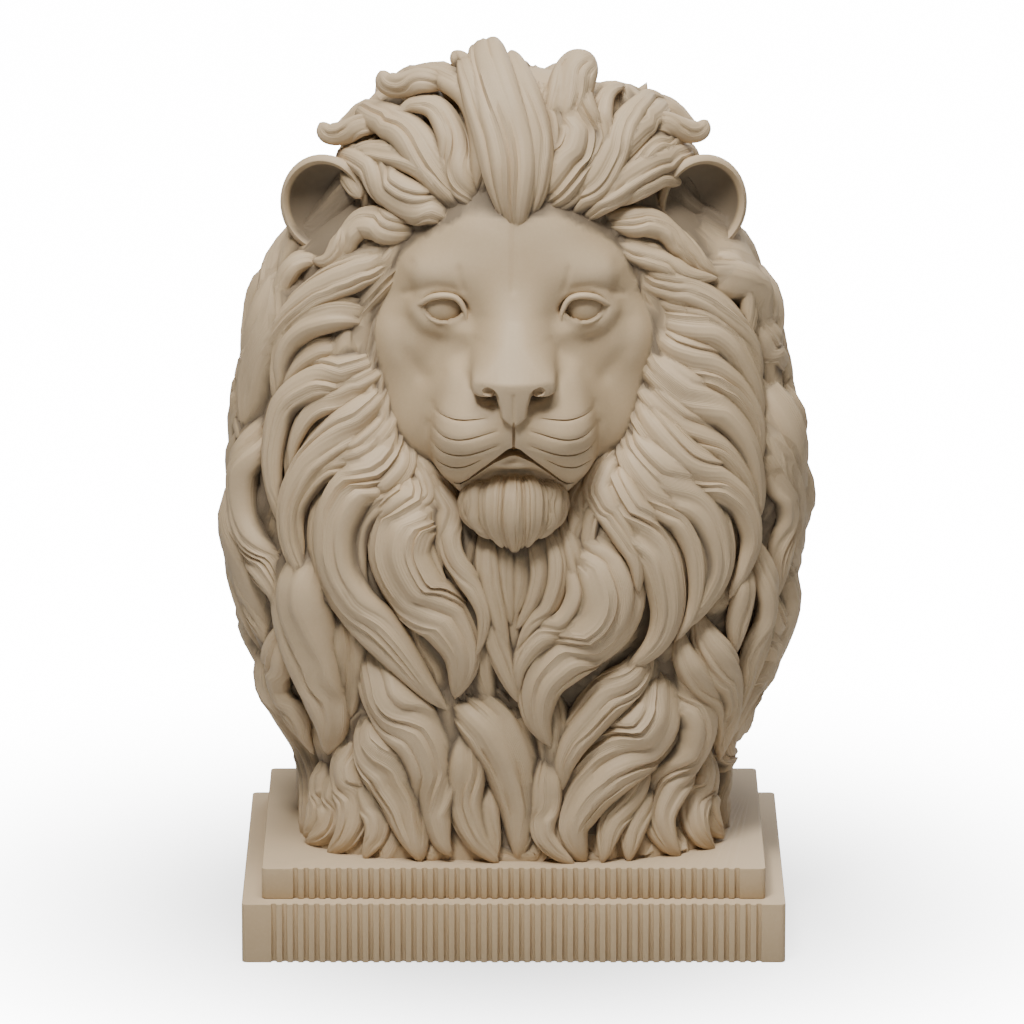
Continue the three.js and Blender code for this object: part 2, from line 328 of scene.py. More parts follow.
def through(points, count):
    """A smooth route through a few points, cut into even steps."""
    given = np.array(points, float)
    given = np.vstack([2 * given[0] - given[1], given, 2 * given[-1] - given[-2]])
    place = np.linspace(0, len(given) - 3 - 1e-9, 16 * len(points))
    span = place.astype(int)
    part = (place - span)[:, None]
    a, b, c, d = (given[span + shift] for shift in range(4))
    fine = 0.5 * (2 * b + (c - a) * part + (2 * a - 5 * b + 4 * c - d) * part ** 2
                  + (3 * b - a - 3 * c + d) * part ** 3)
    run = np.r_[0, np.cumsum(np.linalg.norm(np.diff(fine, axis=0), axis=1))]
    even = np.linspace(0, run[-1], count)
    return np.stack([np.interp(even, run, fine[:, axis]) for axis in range(given.shape[1])], 1)


def drawn_along(rows, place):
    """Points given at even steps of a route, read at places along it."""
    share = np.linspace(0, 1, len(rows))
    return np.stack([np.interp(place, share, rows[:, axis]) for axis in range(3)], 1)


def lay_lock(surface, normal, width, layer=0.0, curl=0.0, strands=None, root=0.05, blunt=3.2,
             blank=FINE_LOCK):
    """Presses one lock onto a surface along a route of even steps, its outer face level with it."""
    mesh, on_length, in_ring, angle = blank
    steps = len(surface)
    share = np.linspace(0, 1, steps)
    sink = -ROOT_SINK * width * np.clip(1 - share / ROOT_LENGTH, 0, 1) ** 1.5
    lift = layer - BEDDED * width + sink + curl * share ** 3
    centre = surface + normal * lift[:, None]
    ahead = np.gradient(centre, axis=0)
    ahead /= np.linalg.norm(ahead, axis=1, keepdims=True)
    aside = np.cross(ahead, normal)
    aside /= np.linalg.norm(aside, axis=1, keepdims=True)
    above = np.cross(aside, ahead)
    veer = np.einsum("ij,ij->i", np.gradient(ahead, axis=0), aside) * steps
    veer = np.convolve(np.pad(veer, 4, mode="edge"), np.ones(9) / 9, mode="valid")
    roll = np.clip(0.3 * veer, -0.5, 0.5) + chance.uniform(-0.15, 0.15)
    strands = strands or max(2, round(width / STRAND_WIDTH))
    phase = chance.uniform(0, math.pi)
    drift = chance.uniform(-0.9, 0.9)
    rise = 1 - (1 - np.clip(on_length / 0.4, 0, 1)) ** 2
    full = (root + (1 - root) * rise) * np.clip(1 - on_length ** blunt, 0, 1) ** 0.75
    cosine, sine = np.cos(angle), np.sin(angle)
    across = np.sign(cosine) * np.abs(cosine) ** 0.9
    crown = np.where(sine > 0, np.abs(sine) ** 0.8, -0.6 * np.abs(sine))
    warp = across + 0.16 * np.sin(4.5 * across + 2 * phase)
    score = np.abs(np.cos(math.pi * strands * warp / 2 + phase + drift * on_length * math.pi))
    depth = SCORED * np.clip(on_length / 0.15, 0.3, 1) * np.clip((1 - on_length) / 0.25, 0, 1)
    crown = crown + np.where(sine > 0, depth * (score ** 0.8 - 0.7) * np.clip(3 * sine, 0, 1) * 2.2, 0)
    half = 0.5 * width * full * in_ring
    flat = THICK * width * full ** 0.8 * in_ring
    side, up = half * across, flat * crown
    turned = np.interp(on_length, share, roll)
    side, up = side * np.cos(turned) - up * np.sin(turned), side * np.sin(turned) + up * np.cos(turned)
    offset = drawn_along(aside, on_length) * side[:, None] + drawn_along(above, on_length) * up[:, None]
    place = drawn_along(centre, on_length) + offset
    mesh = mesh.copy()
    mesh.vertices.foreach_set("co", (place * MM).ravel())
    scored = mesh.attributes.new("strand", "FLOAT", "POINT")
    scored.data.foreach_set("value", (0.5 * width * (warp + 1.2)).astype(np.float32))
    lock = bpy.data.objects.new("lock", mesh)
    lock_tray.objects.link(lock)


def shown_at(across, height):
    """Points of the mane seen from the front at a place across and up, and its direction there.
    Past the mane's outline the surface is carried straight on."""
    inside = np.minimum(height, TOP - 3)
    turn = turn_at(across, inside)
    surface = on_mane(turn, inside)
    beyond = np.clip(np.abs(across) - shape_at(inside, MANE_SIDE), 0, 16)
    surface[:, 0] += np.sign(across) * beyond
    surface[:, 2] += height - inside
    facing = outward(turn, inside)
    facing += np.interp(height, [292, 315], [0, 1.6])[:, None] * np.array((0, -1, 0.4))
    return surface, facing / np.linalg.norm(facing, axis=1, keepdims=True)


# The edge of the face is two half ovals, a short one over a long one, meeting at its widest.
FACE_WIDEST = 255
FACE_SIDE = 57
FACE_UP = 48
FACE_DOWN = 82


def face_reach(height):
    return np.where(height > FACE_WIDEST, FACE_UP, FACE_DOWN)


def past_face(across, height):
    """About how far outside the edge of the face a place is, seen from the front."""
    tall = face_reach(height)
    return 50 * (np.hypot(across / FACE_SIDE, (height - FACE_WIDEST) / tall) - 1)


def front_lock(points, width, layer=0.0, curl=0.0, blunt=3.2, blank=FINE_LOCK):
    """A lock whose route is given across and up, as seen from the front. Its root dips behind
    the edge of the face."""
    across, height = through(points, ROUTE_STEPS).T
    surface, normal = shown_at(across, height)
    gap = past_face(across, height)
    dip = np.interp(height, [160, 190, 215, 235, 285, 300], [2, 4, 9, 12, 9, 0])
    dip = dip * np.exp(-np.clip(gap, 0, None) / 9) * (1 + np.clip(-gap, 0, 12) / 12)
    lay_lock(surface, normal, width, layer - dip, curl, blunt=blunt, blank=blank)


# ---- Head: face, muzzle and chin ----
# The head is built up from rounded lumps of clay kneaded into one another, then carved: eyelids
# are laid on as thin rolls, and the mouth, nostrils, furrows and whisker lines are cut with a tool.


def lump(points, centre, radii, tip=0.0):
    """About how far points are outside a rounded lump that is tipped forward, in degrees."""
    offset = points - centre
    lean = math.radians(tip)
    ahead = offset[:, 1] * math.cos(lean) - offset[:, 2] * math.sin(lean)
    above = offset[:, 1] * math.sin(lean) + offset[:, 2] * math.cos(lean)
    offset = np.stack([offset[:, 0], ahead, above], 1) / radii
    near = np.linalg.norm(offset, axis=1)
    steep = np.linalg.norm(offset / radii, axis=1)
    return near * (near - 1) / np.maximum(steep, 1e-6)


def roll_of_clay(points, route, thickness):
    """How far points are outside a round roll laid along a route."""
    nearest = np.full(len(points), 1e3)
    for start, end in pairwise(route):
        span = end - start
        share = np.clip((points - start) @ span / (span @ span), 0, 1)
        gap = np.linalg.norm(points - start - share[:, None] * span, axis=1)
        nearest = np.minimum(nearest, gap)
    return nearest - thickness


def cut_line(points, route, width):
    """How strongly a tool drawn along a route, seen from the front, marks each point."""
    flat = points[:, ::2]
    return np.exp(-(roll_of_clay(flat, route, 0) / width) ** 2)


def knead(first, second, blend):
    meet = np.clip(blend - np.abs(first - second), 0, None) / blend
    return np.minimum(first, second) - meet * meet * blend / 4


def press(first, second, blend):
    """The form left when a second lump is pressed out of the first."""
    return -knead(-first, second, blend)


def trim(first, second, blend):
    """What two forms have in common."""
    return -knead(-first, -second, blend)


#               centre, radii, forward tip, blend
HEAD_LUMPS = [
    ((0, -10, 262), (65, 44, 57), 0, 1),
    ((0, -34, 284), (32, 22, 26), 0, 14),
    ((0, -25, 305), (30, 15, 14), 0, 10),
    ((23, -42.5, 277), (17, 10.5, 7), 0, 12),
    ((38, -33, 250), (14, 12, 9), 0, 12),
    ((38, -28, 235), (22, 20, 29), 0, 14),
    ((31, -36, 213), (20, 21, 20), 0, 14),
    ((27, -45, 216), (10, 13, 16), 0, 10),
    ((27.8, -45.2, 263), (13.5, 10, 10.5), 0, 5),
    ((0, -62, 222), (24, 24, 18), 0, 6),
    ((18.5, -55, 228), (13, 18, 19), 8, 12),
    ((15, -66, 216.5), (16.5, 21, 14), 0, 8),
    ((20.5, -60, 207.5), (12, 17, 12.5), 0, 8),
]
LOWER_LID = np.array([(36.4, -50, 266.4), (35.6, -51, 262.2), (32, -53.2, 259.5), (27.2, -54.4, 258.8),
                      (22.6, -55, 260), (20, -55.8, 262.6)], float)
LOWER_FOLD = np.array([(38.6, -47.6, 262), (35.4, -50, 257.8), (29, -51.8, 255.6),
                       (22.5, -53.4, 256.4)], float)
TEAR_RIDGE = np.array([(19.5, -54, 254), (22, -52.5, 247), (26.5, -49.5, 238), (29.5, -47, 228)], float)
LIP_CORNER = np.array([(28, -57, 204), (25.5, -60, 198), (20.5, -65, 193.5)], float)
CHIN_LUMPS = [
    ((0, -46, 203), (29, 24, 18), 0, 4),
    ((0, -57, 186.5), (21.5, 23, 18.5), 0, 4),
    ((0, -66, 206.4), (13.5, 15, 3.2), 0, 2),
]
#               route, thickness, blend
LAID_ROLLS = [(LOWER_LID, 1.2, 1.0), (LOWER_FOLD, 1.3, 4), (TEAR_RIDGE, 3, 8), (LIP_CORNER, 2.2, 3)]
EYE_SOCKET = ((29, -57.6, 264.5), (11.4, 9.6, 7))
EYE = np.array((27.6, -45.2, 264.3))
EYE_RADIUS = 9.6
WHISKER_LINES = [
    [(31, 225.4), (22, 225), (11, 226.5)],
    [(31.8, 219), (27, 217.6), (20, 218), (7, 221.7)],
    [(32.2, 212.6), (27, 210.8), (19, 211.4), (6.5, 215.7)],
    [(31, 206), (25, 204.6), (19, 205.8), (13, 209.4)],
]
#               route across and up, width, depth
FURROWS = [
    ([(0, 297), (0, 284), (0, 274)], 1.5, 0.45),
    ([(0, 237), (0, 231), (0, 226)], 0.7, 0.5),
    ([(22, 281), (21.5, 277), (20, 273)], 1.4, 0.5),
    ([(41, 281), (42, 275), (40.5, 269)], 1.8, 0.5),
    ([(46, 258), (45, 247), (37, 237)], 3.5, 0.7),
    ([(28, 239), (32, 229), (34, 219), (34, 208), (32, 198), (28, 190)], 2.2, 0.3),
    ([(32.5, 227), (34, 219), (34, 208), (32, 198), (28, 190)], 1.7, 0.3),
    ([(34, 219), (34, 208), (32, 198)], 1.4, 0.25),
    ([(44, 268.5), (38, 271.5), (31, 274), (24, 273.5)], 1.2, 0.5),
] + [(line, 1.0, 0.35) for line in WHISKER_LINES]


BRIDGE_END = (-84, 248.6)
PAD_FRONT = -91
PAD_TOP = 239
NOSE_SIDE = 16.8
NOSTRIL_TOP = 235.6


def nose(points):
    """How far points are outside the nose: a sloping bridge that ends in an upright pad, which
    is broad over the nostrils and narrows to a point below them."""
    across, ahead, above = points.T
    bridge = 0.7 * (above - BRIDGE_END[1] - ahead + BRIDGE_END[0]) + 0.02 * across ** 2
    pad = -(ahead - PAD_FRONT) + 0.028 * across ** 2 + 0.14 * np.clip(PAD_TOP - above, 0, 16)
    side = across - NOSE_SIDE + 0.18 * np.clip(above - PAD_TOP - 4, 0, 20)
    wing = trim(side, NOSTRIL_TOP - above + 0.016 * (across - 13) ** 2, 3)
    middle = across - np.interp(above, [217, 223.6, 227.5, 232, PAD_TOP], [-8, 0, 5, 5.7, 8])
    blend = np.interp(above, [PAD_TOP - 1, PAD_TOP + 4, 254], [1.6, 5, 12])
    return trim(trim(bridge, pad, 0.8), knead(wing, middle, 0.8), blend)


def head_form(points):
    """About how far points are outside the head before the fine carving."""
    paired = np.column_stack([np.abs(points[:, 0]), points[:, 1:]])
    form = lump(paired, *HEAD_LUMPS[0][:3])
    for centre, radii, tip, blend in HEAD_LUMPS[1:]:
        form = knead(form, lump(paired, centre, radii, tip), blend)
    form = knead(form, nose(paired), np.interp(paired[:, 2], [236, 256], [1.0, 14]))
    for centre, radii, tip, blend in CHIN_LUMPS:
        form = knead(form, lump(paired, centre, radii, tip), blend)
    form = press(form, lump(paired, *EYE_SOCKET), 1.2)
    for route, thickness, blend in LAID_ROLLS:
        form = knead(form, roll_of_clay(paired, route, thickness), blend)
    for route, width, depth in FURROWS:
        form = form + depth * cut_line(paired, np.array(route), width)
    return form


AHEAD_OF_NOSE = -118.0
SHEET_EDGE = -4


def front_of_head(across, height):
    """Where the head's front face is, at places across and up it, found by stepping back to it."""
    place = np.stack([across, np.full_like(across, AHEAD_OF_NOSE), height], 1)
    for _ in range(48):
        place[:, 1] = np.minimum(place[:, 1] + 0.75 * head_form(place), SHEET_EDGE)
    return place


def slope_of_head(place):
    """How far places are outside the head, and how that changes along each axis."""
    step = 0.05
    here = head_form(place)
    return here, np.stack([head_form(place + shift) - here for shift in np.eye(3) * step], 1) / step


def mean_of_neighbours(values, ends):
    """The mean of what each point's neighbours have, along edges given as pairs of points."""
    count = len(values)
    columns = values.reshape(count, -1).T
    total = np.stack([np.bincount(ends[:, 0], column[ends[:, 1]], count)
                      + np.bincount(ends[:, 1], column[ends[:, 0]], count) for column in columns], 1)
    return (total / np.bincount(ends.ravel(), minlength=count)[:, None]).reshape(values.shape)


# The face is one sheet of clay, drawn back onto the form and eased over it, with its cut edge
# taken back into the mane.
HEAD_COLUMNS, HEAD_ROWS = 170, 200
SHEET_MIDDLE = 228
SHEET_SIDE, SHEET_UP, SHEET_DOWN = 66, 90, 68
head_bm = bmesh.new()
bmesh.ops.create_grid(head_bm, x_segments=HEAD_COLUMNS, y_segments=HEAD_ROWS, size=1)
sheet = np.array([v.co for v in head_bm.verts])
closer = 0.55 * sheet + 0.45 * sheet ** 3
tall = np.where(sheet[:, 1] > 0, SHEET_UP, SHEET_DOWN)
place = front_of_head(SHEET_SIDE * closer[:, 0], SHEET_MIDDLE + tall * closer[:, 1])
ends = np.array([(e.verts[0].index, e.verts[1].index) for e in head_bm.edges])
held = np.abs(sheet[:, :2]).max(axis=1) > 0.999
for _ in range(6):
    moved = place + 0.4 * (mean_of_neighbours(place, ends) - place)
    here, slope = slope_of_head(moved)
    steep = np.maximum(np.einsum("ij,ij->i", slope, slope), 0.3)
    moved -= (np.clip(here, -2, 2) / steep)[:, None] * slope
    place = np.where((held | (place[:, 1] > 2 * SHEET_EDGE))[:, None], place, moved)
for vertex, point in zip(head_bm.verts, place * MM):
    vertex.co = point
rim = [e for e in head_bm.edges if e.is_boundary]
drawn = bmesh.ops.extrude_edge_only(head_bm, edges=rim)["geom"]
for vertex in (part for part in drawn if isinstance(part, bmesh.types.BMVert)):
    vertex.co.y = 0.004
bmesh.ops.contextual_create(head_bm, geom=[e for e in head_bm.edges if e.is_boundary])
bmesh.ops.recalc_face_normals(head_bm, faces=head_bm.faces)
head_mesh = bpy.data.meshes.new("head")
head_bm.to_mesh(head_mesh)
head_bm.free()
head = bpy.data.objects.new("head", head_mesh)
lock_tray.objects.link(head)

# Eyeballs are plain balls. Each lid is a thin roll laid over the ball from corner to corner.
TOOL_BLANK, TOOL_LENGTH, TOOL_RING, TOOL_TURN = rolled_blank(12, 24)
cutters = bpy.data.collections.new("cutters")


def thin_roll(route, wide, deep, tray, ends=0.25):
    """A thin roll along a route in space, wide across the view and deep along it."""
    ahead = np.gradient(route, axis=0)
    ahead /= np.linalg.norm(ahead, axis=1, keepdims=True)
    inward = np.array([0, 1, 0]) - ahead * ahead[:, 1:2]
    inward /= np.linalg.norm(inward, axis=1, keepdims=True)
    aside = np.cross(ahead, inward)
    full = TOOL_RING * (ends + (1 - ends) * np.sin(math.pi * TOOL_LENGTH) ** 0.6)
    place = drawn_along(route, TOOL_LENGTH)
    place += drawn_along(aside, TOOL_LENGTH) * (wide * full * np.cos(TOOL_TURN))[:, None]
    place += drawn_along(inward, TOOL_LENGTH) * (deep * full * np.sin(TOOL_TURN))[:, None]
    mesh = TOOL_BLANK.copy()
    mesh.vertices.foreach_set("co", (place * MM).ravel())
    tray.objects.link(bpy.data.objects.new("roll", mesh))


UPPER_LID = [(42.6, -44.6, 264.6), (40, -47.4, 264.8), (37.2, -50.4, 266), (33.2, -53.4, 269),
             (27.6, -55, 270.2), (22.4, -55.2, 268.8), (19.4, -56, 263.6), (18.4, -57, 258)]
MOUTH = [(-24, 195.6), (-21, 195.8), (-16.5, 200.2), (-11, 205.4), (-5, 210.8), (0, 214.2),
         (5, 210.8), (11, 205.4), (16.5, 200.2), (21, 195.8), (24, 195.6)]
NOSTRIL = [(13, -87, 237.6), (10.6, -89.5, 238), (8.3, -90.5, 236), (7.4, -90, 232)]
for side in (1, -1):
    ball = bmesh.new()
    bmesh.ops.create_uvsphere(ball, u_segments=32, v_segments=20, radius=EYE_RADIUS * MM)
    bmesh.ops.translate(ball, verts=ball.verts, vec=Vector(EYE * (side, 1, 1) * MM))
    ball_mesh = bpy.data.meshes.new("eyeball")
    ball.to_mesh(ball_mesh)
    ball.free()
    lock_tray.objects.link(bpy.data.objects.new("eyeball", ball_mesh))
    thin_roll(through(UPPER_LID, 24) * (side, 1, 1), 1.4, 2.0, lock_tray)
    thin_roll(through(LOWER_LID, 24) * (side, 1, 1), 1.0, 1.6, lock_tray)
    thin_roll(through(NOSTRIL, 24) * (side, 1, 1), 2.6, 6, cutters, ends=0.3)
    for line in WHISKER_LINES:
        route = through(line, 24)
        thin_roll(front_of_head(side * route[:, 0], route[:, 1]), 0.35, 1.0, cutters, ends=0.1)
mouth = through(MOUTH, 48)
thin_roll(front_of_head(mouth[:, 0], mouth[:, 1]), 0.8, 5, cutters, ends=0.2)
gap = through([(-10, 206.8), (-4, 210.8), (0, 212), (4, 210.8), (10, 206.8)], 24)
thin_roll(front_of_head(gap[:, 0], gap[:, 1]) + (0, 1, 0), 1.4, 7, cutters, ends=0.1)
parting = np.linspace((0, 226), (0, 213), 24)
thin_roll(front_of_head(parting[:, 0], parting[:, 1]), 0.7, 1.6, cutters, ends=0.5)

# The chin's short beard is a fan of small locks drawn together into a tip a little off centre.
BEARD_LOCKS = 11
BEARD_CENTRE = (0, -57, 186)
BEARD_RADII = (24.5, 25, 21.5)
for place in (0, 10, 2, 8, 4, 6, 1, 9, 3, 7, 5):
    share = 2 * place / (BEARD_LOCKS - 1) - 1
    tip = (0.5 + 13 * share, 163.4 + 12 * abs(share) ** 0.9)
    route = through([(15.5 * share, 205 - 6.5 * share ** 2), (20.6 * share, 195 - 2.5 * share ** 2),
                     (20.4 * share, 182), tip], ROUTE_STEPS)
    offset = (route - (0, BEARD_CENTRE[2])) / (BEARD_RADII[0], BEARD_RADII[2])
    deep = np.sqrt(np.clip(1 - (offset ** 2).sum(axis=1), 0.06, 1))
    surface = np.stack([route[:, 0], BEARD_CENTRE[1] - BEARD_RADII[1] * deep, route[:, 1]], 1)
    normal = np.stack([offset[:, 0], -deep, offset[:, 1]], 1) / BEARD_RADII
    normal /= np.linalg.norm(normal, axis=1, keepdims=True)
    over = place % 2
    lay_lock(surface, normal, 8 + 1.5 * over, layer=0.4 + 1.2 * over, strands=3, root=0.4)


# ---- Mane: the locks round the face ----
# The locks spring from the edge of the face and sweep out and down. Each row gives a lock's
# width, how far it stands over its neighbours, and its route from root to tip.

LEFT_LOCKS = [
    (13, 0, [(-35, 296), (-50, 296), (-62, 296), (-70, 289), (-77, 281), (-84, 280)]),
    (12, 1, [(-38, 291), (-52, 284), (-65, 277), (-80, 268), (-93, 256), (-103, 240), (-110, 222)]),
    (16, 0, [(-57, 263), (-72, 262), (-87, 255), (-96, 242), (-99, 218)]),
    (14, 1, [(-55, 246), (-68, 238), (-82, 232), (-94, 222), (-99, 205), (-99, 188), (-93, 167)]),
    (10, 0, [(-54, 242), (-62, 234), (-73, 227), (-84, 219), (-90, 207), (-92, 195)]),
    (14, 2, [(-53, 236), (-60, 224), (-72, 212), (-84, 198), (-91, 182), (-91, 166), (-85, 153),
             (-75, 143)]),
    (10, 1, [(-51, 229), (-55, 215), (-64, 206), (-75, 199), (-83, 190), (-88, 178), (-86, 160)]),
    (22, 4, [(-50, 222), (-54, 206), (-66, 192), (-73, 176), (-72, 158), (-63, 143), (-50, 128),
             (-37, 112), (-27, 101)]),
    (10, 1, [(-45, 216), (-45, 200), (-54, 189), (-62, 178), (-64, 165), (-61, 150), (-50, 137)]),
    (24, 5, [(-38, 196), (-43, 182), (-46, 166), (-38, 150), (-27, 138), (-21, 124), (-24, 106)]),
    (8, 2, [(-33, 198), (-37, 185), (-36, 172), (-31, 160), (-25, 150)]),
    (9, 3, [(-28, 191), (-27, 180), (-25, 168), (-19, 158), (-13, 147), (-12, 138), (-15, 125)]),
    (9, 1, [(-11, 150), (-8, 135), (-4, 122), (2, 105)]),
]
RIGHT_LOCKS = [
    (12, 0, [(33, 299), (47, 298), (60, 295), (70, 287), (79, 278), (86, 273)]),
    (9, 1, [(38, 293), (50, 287), (62, 281), (72, 275), (84, 272)]),
    (12, 1, [(48, 283), (60, 275), (75, 268), (88, 258), (98, 245), (103, 230)]),
    (12, 0, [(53, 275), (65, 268), (78, 262), (90, 252), (99, 238), (103, 222)]),
    (14, 1, [(60, 262), (72, 257), (85, 250), (94, 238), (100, 224), (103, 212)]),
    (16, 1, [(58, 256), (68, 246), (80, 238), (92, 227), (100, 212), (102, 195)]),
    (15, 2, [(56, 250), (62, 238), (73, 228), (86, 219), (95, 206), (100, 190), (102, 175)]),
    (14, 1, [(54, 241), (60, 227), (71, 216), (83, 207), (92, 196), (98, 183), (100, 168)]),
    (16, 3, [(52, 232), (57, 217), (67, 204), (80, 194), (92, 183), (97, 168), (94, 155), (88, 143)]),
    (18, 3, [(48, 219), (55, 204), (66, 193), (77, 182), (83, 168), (83, 155), (77, 143), (69, 132)]),
    (13, 2, [(45, 216), (49, 200), (58, 188), (68, 178), (74, 165), (75, 150), (72, 138), (66, 128)]),
    (18, 3, [(39, 207), (42, 190), (50, 177), (58, 165), (62, 150), (62, 138), (57, 127), (45, 117)]),
    (24, 5, [(27, 190), (30, 176), (36, 163), (40, 150), (36, 138), (24, 128), (12, 115), (10, 100),
             (15, 86)]),
    (11, 4, [(35, 200), (37, 188), (43, 177), (49, 163), (50, 150)]),
    (12, 3, [(18, 172), (25, 160), (27, 150), (22, 140), (10, 132), (3, 122), (2, 110)]),
]
UNDER_CHIN = [
    (8, 0, [(2, 180), (3, 158), (0, 140)]),
    (8, 1, [(8, 183), (11, 162), (8, 148), (1, 136)]),
    (8, 2, [(13, 185), (18, 164), (15, 148), (7, 138), (1, 128)]),
    (8, 1, [(19, 188), (25, 166), (25, 150), (18, 140), (8, 133)]),
    (8, 1, [(-5, 180), (-4, 156), (-1, 138)]),
    (12, -2, [(0, 174), (0, 145), (2, 112)]),
    (13, -2, [(-8, 172), (-13, 142), (-13, 118), (-8, 98)]),
    (12, -4, [(-26, 138), (-22, 122), (-18, 104), (-15, 84)]),
    (9, 1, [(-36, 203), (-35, 190), (-32, 176), (-29, 160)]),
    (8, 0, [(-29, 196), (-28, 184), (-24, 170), (-18, 158)]),
    (9, 1, [(36, 203), (34, 190), (31, 178), (30, 162)]),
    (8, 0, [(29, 196), (27, 184), (24, 172), (20, 160)]),
    (8, 2, [(-12, 183), (-10, 158), (-6, 140), (-2, 125)]),
]
CROWN_LOCKS = [
    (12, 3, [(-7, 304), (-6, 330), (-8, 349), (-14, 358), (-20, 359)]),
    (14, 4, [(-12, 305), (-10, 328), (-16, 345), (-30, 352), (-42, 350), (-50, 347)]),
    (11, 3, [(-16, 304), (-22, 316), (-25, 330), (-31, 340), (-40, 341), (-48, 336)]),
    (14, 3, [(-22, 304), (-33, 320), (-45, 332), (-58, 335), (-67, 330), (-74, 326)]),
    (9, 1, [(-19, 303), (-30, 318), (-42, 325), (-52, 332), (-62, 332), (-67, 326)]),
    (11, 2, [(-22, 304), (-32, 316), (-45, 322), (-60, 322), (-70, 316)]),
    (14, 3, [(-28, 301), (-40, 305), (-50, 310), (-57, 317), (-66, 319), (-73, 313)]),
    (8, 1, [(-69, 316), (-62, 304)]),
    (11, 3, [(9, 303), (14, 313), (18, 325), (18, 336), (13, 345), (10, 351)]),
    (12, 2, [(8, 330), (11, 342), (14, 351)]),
    (18, 5, [(14, 304), (20, 315), (26, 328), (26, 341), (27, 348), (29, 353)]),
    (11, 3, [(18, 304), (27, 316), (34, 328), (35, 338), (38, 345), (45, 347)]),
    (12, 4, [(24, 303), (33, 314), (40, 325), (45, 334), (53, 340), (62, 339)]),
    (13, 3, [(32, 310), (40, 324), (51, 334), (61, 336), (69, 331), (75, 328)]),
    (11, 2, [(34, 307), (45, 318), (56, 325), (66, 324), (74, 316)]),
    (14, 3, [(28, 301), (38, 310), (50, 317), (62, 320), (71, 317), (76, 308)]),
    (9, 2, [(40, 304), (50, 310), (60, 312), (68, 308)]),
]
CROWN_CURLS = [
    (9, [(-6, -22, 352), (-13, -18, 355), (-20, -14, 357), (-25, -11, 361)]),
    (11, [(-28, -22, 351), (-37, -18, 350.5), (-45, -14, 348), (-51, -11, 348.5), (-54, -9, 353)]),
    (10, [(-52, -16, 333), (-61, -13, 331), (-69, -10, 327.5), (-75, -8, 327), (-78.5, -6, 331)]),
    (19, [(18, -34, 330), (21, -27, 343), (25, -20, 354), (31, -15, 362)]),
    (10, [(52, -16, 334), (61, -13, 332), (69, -10, 328.5), (75, -8, 328), (78.5, -6, 332)]),
]
SIDE_LOCKS = [
    (12, 0, [(-80, 284), (-89, 279), (-95, 270), (-98, 258), (-98, 244)]),
    (14, 0, [(-97, 262), (-106, 245), (-112, 228), (-116, 212), (-112, 196)]),
    (20, 2, [(-103, 222), (-109, 205), (-113, 188), (-112, 170), (-105, 155), (-98, 143), (-99, 131)]),
    (14, 0, [(-113, 165), (-114, 148), (-111, 135), (-102, 116)]),
    (25, 3, [(-82, 176), (-88, 158), (-89, 141), (-85, 122), (-80, 105), (-77, 90), (-79, 74)]),
    (14, 1, [(-98, 132), (-99, 118), (-98, 100), (-91, 86), (-84, 72)]),
    (12, 0, [(80, 285), (89, 280), (95, 271), (98, 259), (98, 245)]),
    (14, 0, [(98, 262), (106, 245), (112, 228), (116, 212), (113, 197)]),
    (16, 1, [(104, 222), (109, 205), (112, 188), (114, 172), (112, 155), (110, 135)]),
    (12, 2, [(101, 170), (104, 150), (104, 133), (99, 115), (95, 100), (91, 85)]),
    (18, 1, [(108, 150), (108, 130), (107, 112), (100, 98), (93, 85), (87, 67)]),
    (10, 1, [(96, 160), (95, 145), (92, 130), (91, 118)]),
    (14, 2, [(78, 140), (80, 128), (85, 115), (89, 103), (89, 90), (87, 78), (86, 68)]),
    (10, 1, [(70, 133), (71, 120), (77, 108), (84, 97), (86, 84), (85, 75)]),
]
FOOT_LOCKS = [
    (12, 1, [(-82, 72), (-81, 60), (-82, 50), (-88, 40)]),
    (12, 0, [(-78, 72), (-77, 58), (-78, 48), (-88, 38)]),
    (14, 1, [(-72, 85), (-71, 70), (-67, 57), (-70, 46), (-78, 37)]),
    (10, 0, [(-66, 72), (-60, 60), (-57, 50), (-62, 37)]),
    (20, 2, [(-63, 98), (-60, 85), (-52, 73), (-45, 60), (-41, 48), (-38, 37)]),
    (21, 3, [(-66, 130), (-58, 115), (-50, 102), (-38, 88), (-33, 72), (-32, 58), (-29, 46), (-25, 40)]),
    (14, 1, [(-20, 98), (-20, 80), (-20, 62), (-15, 48), (-6, 37)]),
    (13, -2, [(14, 112), (16, 96), (17, 80), (16, 64)]),
    (14, -3, [(-74, 142), (-70, 126), (-69, 109), (-70, 92)]),
    (13, -3, [(-31, 122), (-28, 104), (-25, 86), (-23, 66)]),
    (16, -3, [(-44, 148), (-36, 130), (-31, 114), (-30, 96)]),
    (9, -1, [(-12, 70), (-11, 56), (-9, 45), (-8, 37)]),
    (23, 0, [(-31, 117), (-22, 108), (-12, 98), (-4, 85), (1, 70), (3, 55), (2, 37)]),
    (11, 1, [(15, 86), (14, 75), (13, 62), (12, 50), (18, 42), (25, 37)]),
    (15, 2, [(60, 128), (50, 115), (38, 105), (27, 92), (21, 80), (19, 66)]),
    (26, 3, [(63, 122), (62, 107), (57, 93), (43, 80), (31, 67), (24, 53), (26, 44), (30, 37)]),
    (11, 1, [(58, 78), (48, 64), (40, 52), (36, 37)]),
    (10, 0, [(58, 70), (50, 52), (47, 37)]),
    (19, 2, [(67, 120), (71, 106), (77, 93), (75, 80), (66, 67), (61, 55), (64, 45), (70, 37)]),
    (12, 1, [(82, 80), (80, 65), (76, 54), (78, 45), (84, 37)]),
    (12, 0, [(84, 76), (83, 62), (82, 52), (89, 39)]),
]


